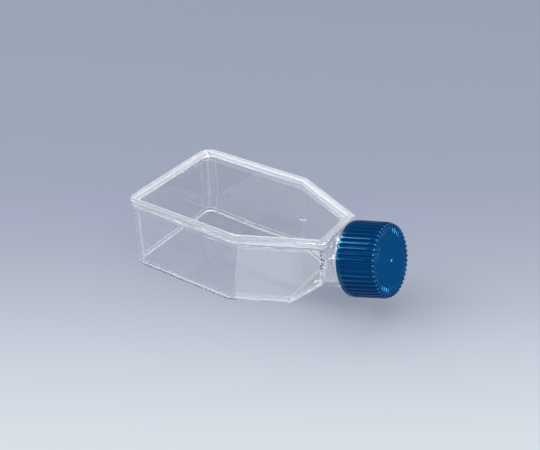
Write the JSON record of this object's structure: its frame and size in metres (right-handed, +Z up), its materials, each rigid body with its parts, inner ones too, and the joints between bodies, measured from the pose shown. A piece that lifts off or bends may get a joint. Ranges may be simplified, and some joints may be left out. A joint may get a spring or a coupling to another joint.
{
  "type": "cell culture flask",
  "caption": "Clear flat-sided cell culture flask with a floor to grow cells on, a welded top plate with a raised stacking rim, a canted neck and a blue ribbed screw cap.",
  "frame": {"origin": "on the underside of the floor, in the middle of the flask's width and of the rectangular part of its floor", "axes": "+X towards the cap, along the flask; +Y across it; +Z up, from the floor to the stacking rim"},
  "size_m": [0.0999, 0.05, 0.035],
  "materials": {
    "clear_tray": "polished clear polystyrene, moulded in one piece",
    "clear_plate": "polished clear polystyrene, welded on",
    "blue_cap": "opaque blue polyethylene with a soft sheen"
  },
  "bodies": {
    "flask": {"flask_body": "clear_tray", "top_plate": "clear_plate"},
    "cap": {"screw_cap": "blue_cap"}
  },
  "joints": [
    {"name": "cap_lift", "type": "slide", "parent": "flask", "child": "cap", "axis": [0.9532, 0, 0.3024], "range_m": [0, 0.02]}
  ]
}
